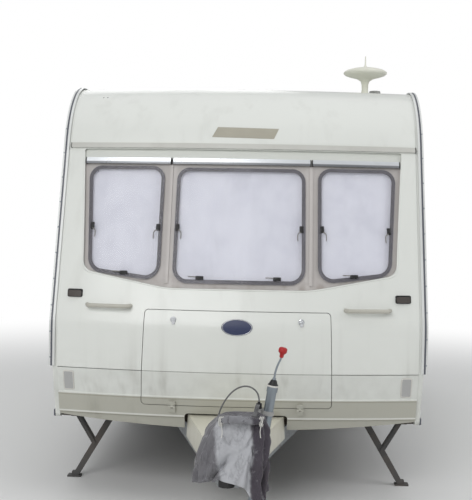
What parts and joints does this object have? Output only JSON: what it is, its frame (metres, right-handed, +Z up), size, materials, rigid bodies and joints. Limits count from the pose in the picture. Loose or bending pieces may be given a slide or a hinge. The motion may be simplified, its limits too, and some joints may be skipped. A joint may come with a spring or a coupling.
{
  "type": "travel caravan",
  "caption": "Single axle touring caravan with bowed front, locker, entrance door, roof hatches, jockey wheel, corner steadies and covered coupling",
  "frame": {"origin": "on the ground, in the middle of the overall length and width", "axes": "+X across the body towards the entrance door, -Y forward to the coupling, +Z up"},
  "size_m": [2.18, 5.8459, 2.7683],
  "materials": {
    "acrylic_pane": "tinted double acrylic",
    "black_plastic": "black moulded plastic",
    "black_steel": "black painted steel",
    "blind_fabric": "pale lilac woven cloth",
    "cast_iron": "black painted casting",
    "cover_fabric": "coated grey cloth",
    "cream_body": "glossy cream gel coat, slightly weathered",
    "floor_board": "sealed plywood sandwich",
    "galvanised_steel": "hot dip galvanised steel, dull",
    "grey_plastic": "pale grey moulded plastic",
    "lamp_lens": "moulded lamp lens",
    "navy_badge": "navy enamelled plastic",
    "rail_alloy": "bright aluminium extrusion",
    "red_lens": "red and amber moulded lens",
    "rim_steel": "silver painted pressed steel",
    "seal_rubber": "black rubber extrusion",
    "side_panel": "cream painted aluminium sheet over a light core",
    "surround_plastic": "faded pinkish grey moulded plastic",
    "tyre_rubber": "black tyre rubber",
    "white_plastic": "white moulded plastic",
    "zinc_steel": "bright zinc plated steel"
  },
  "bodies": {
    "caravan": {"awning_rails": "rail_alloy", "axle_tube": "galvanised_steel", "blinds": "blind_fabric", "cable": "black_plastic", "chassis_rails": "galvanised_steel", "coupling_head": "cast_iron", "drawbar_fairing": "cream_body", "floor": "floor_board", "front_lamps": "lamp_lens", "front_panel": "cream_body", "front_skirt": "cream_body", "grab_handles": "cream_body", "handbrake": "black_steel", "hinge_rails": "rail_alloy", "hitch_cover": "cover_fabric", "jockey_clamp": "cast_iron", "jockey_crank": "zinc_steel", "jockey_tube": "zinc_steel", "join_strip": "white_plastic", "locker_box": "floor_board", "overrun_bellows": "seal_rubber", "overrun_housing": "cast_iron", "plug": "black_plastic", "plug_holder": "grey_plastic", "rear_lamps": "red_lens", "rear_panel": "cream_body", "roof_cap": "cream_body", "roof_fittings": "white_plastic", "roof_hatch_frames": "white_plastic", "roof_panel": "side_panel", "side_vents": "white_plastic", "side_wall_left": "side_panel", "side_wall_right": "side_panel", "steady_bases": "galvanised_steel", "trailing_arms": "black_steel", "wheel_spats": "white_plastic", "window_panes": "acrylic_pane", "window_seals": "seal_rubber", "window_surround": "surround_plastic"},
    "wheel_left": {"tyre_left": "tyre_rubber", "rim_left": "rim_steel"},
    "wheel_right": {"tyre_right": "tyre_rubber", "rim_right": "rim_steel"},
    "locker_lid_body": {"locker_lid": "cream_body", "lid_badge": "navy_badge"},
    "entrance_door_body": {"entrance_door": "cream_body", "door_pane": "acrylic_pane"},
    "roof_lid_front_body": {"roof_lid_front": "white_plastic"},
    "roof_lid_rear_body": {"roof_lid_rear": "white_plastic"},
    "jockey_stem_body": {"jockey_stem": "zinc_steel"},
    "jockey_fork_body": {"jockey_fork": "zinc_steel"},
    "jockey_wheel_body": {"jockey_wheel": "seal_rubber"},
    "steady_brace_front_left_body": {"steady_brace_front_left": "galvanised_steel"},
    "steady_leg_front_left_body": {"steady_leg_front_left": "galvanised_steel"},
    "steady_brace_front_right_body": {"steady_brace_front_right": "galvanised_steel"},
    "steady_leg_front_right_body": {"steady_leg_front_right": "galvanised_steel"},
    "steady_brace_rear_left_body": {"steady_brace_rear_left": "galvanised_steel"},
    "steady_leg_rear_left_body": {"steady_leg_rear_left": "galvanised_steel"},
    "steady_brace_rear_right_body": {"steady_brace_rear_right": "galvanised_steel"},
    "steady_leg_rear_right_body": {"steady_leg_rear_right": "galvanised_steel"}
  },
  "joints": [
    {"name": "wheel_left_axle", "type": "hinge", "parent": "caravan", "child": "wheel_left", "pos_m": [-0.935, 0.75, 0.304], "axis": [1, 0, 0], "continuous": true},
    {"name": "wheel_right_axle", "type": "hinge", "parent": "caravan", "child": "wheel_right", "pos_m": [0.935, 0.75, 0.304], "axis": [1, 0, 0], "continuous": true},
    {"name": "locker_lid_hinge", "type": "hinge", "parent": "caravan", "child": "locker_lid_body", "pos_m": [0, -1.76062, 0.556], "axis": [1, 0, 0], "range_deg": [0, 85]},
    {"name": "entrance_door_hinge", "type": "hinge", "parent": "caravan", "child": "entrance_door_body", "pos_m": [1.078, -0.417, 1.35], "axis": [0, 0, -1], "range_deg": [0, 110]},
    {"name": "roof_lid_front_hinge", "type": "hinge", "parent": "caravan", "child": "roof_lid_front_body", "pos_m": [0, -0.037, 2.4933], "axis": [-1, 0, 0], "range_deg": [0, 60]},
    {"name": "roof_lid_rear_hinge", "type": "hinge", "parent": "caravan", "child": "roof_lid_rear_body", "pos_m": [0, 1.863, 2.4933], "axis": [-1, 0, 0], "range_deg": [0, 60]},
    {"name": "jockey_screw", "type": "slide", "parent": "caravan", "child": "jockey_stem_body", "axis": [0.1564, 0, 0.9877], "range_m": [-0.1, 0.1]},
    {"name": "jockey_swivel", "type": "hinge", "parent": "jockey_stem_body", "child": "jockey_fork_body", "pos_m": [0.0895, -2.525, 0.1008], "axis": [0.1564, 0, 0.9877], "continuous": true},
    {"name": "jockey_wheel_spin", "type": "hinge", "parent": "jockey_fork_body", "child": "jockey_wheel_body", "pos_m": [0.0895, -2.49, 0.1008], "axis": [0.9877, 0, -0.1564], "continuous": true},
    {"name": "steady_front_left_brace", "type": "hinge", "parent": "caravan", "child": "steady_brace_front_left_body", "pos_m": [-1.01, -1.255, 0.405], "axis": [0, -1, 0], "range_deg": [0, 53.2]},
    {"name": "steady_front_left_leg", "type": "hinge", "parent": "steady_brace_front_left_body", "child": "steady_leg_front_left_body", "pos_m": [-0.90005, -1.255, 0.22024], "axis": [0, 1, 0], "range_deg": [0, 106.4]},
    {"name": "steady_front_right_brace", "type": "hinge", "parent": "caravan", "child": "steady_brace_front_right_body", "pos_m": [1.01, -1.255, 0.405], "axis": [0, 1, 0], "range_deg": [0, 53.2]},
    {"name": "steady_front_right_leg", "type": "hinge", "parent": "steady_brace_front_right_body", "child": "steady_leg_front_right_body", "pos_m": [0.90005, -1.255, 0.22024], "axis": [0, -1, 0], "range_deg": [0, 106.4]},
    {"name": "steady_rear_left_brace", "type": "hinge", "parent": "caravan", "child": "steady_brace_rear_left_body", "pos_m": [-1.01, 2.527, 0.405], "axis": [0, -1, 0], "range_deg": [0, 53.2]},
    {"name": "steady_rear_left_leg", "type": "hinge", "parent": "steady_brace_rear_left_body", "child": "steady_leg_rear_left_body", "pos_m": [-0.90005, 2.527, 0.22024], "axis": [0, 1, 0], "range_deg": [0, 106.4]},
    {"name": "steady_rear_right_brace", "type": "hinge", "parent": "caravan", "child": "steady_brace_rear_right_body", "pos_m": [1.01, 2.527, 0.405], "axis": [0, 1, 0], "range_deg": [0, 53.2]},
    {"name": "steady_rear_right_leg", "type": "hinge", "parent": "steady_brace_rear_right_body", "child": "steady_leg_rear_right_body", "pos_m": [0.90005, 2.527, 0.22024], "axis": [0, -1, 0], "range_deg": [0, 106.4]}
  ],
  "couplings": [
    {"joint": "steady_front_left_leg", "follows": "steady_front_left_brace", "ratio": 2},
    {"joint": "steady_front_right_leg", "follows": "steady_front_right_brace", "ratio": 2},
    {"joint": "steady_rear_left_leg", "follows": "steady_rear_left_brace", "ratio": 2},
    {"joint": "steady_rear_right_leg", "follows": "steady_rear_right_brace", "ratio": 2}
  ]
}
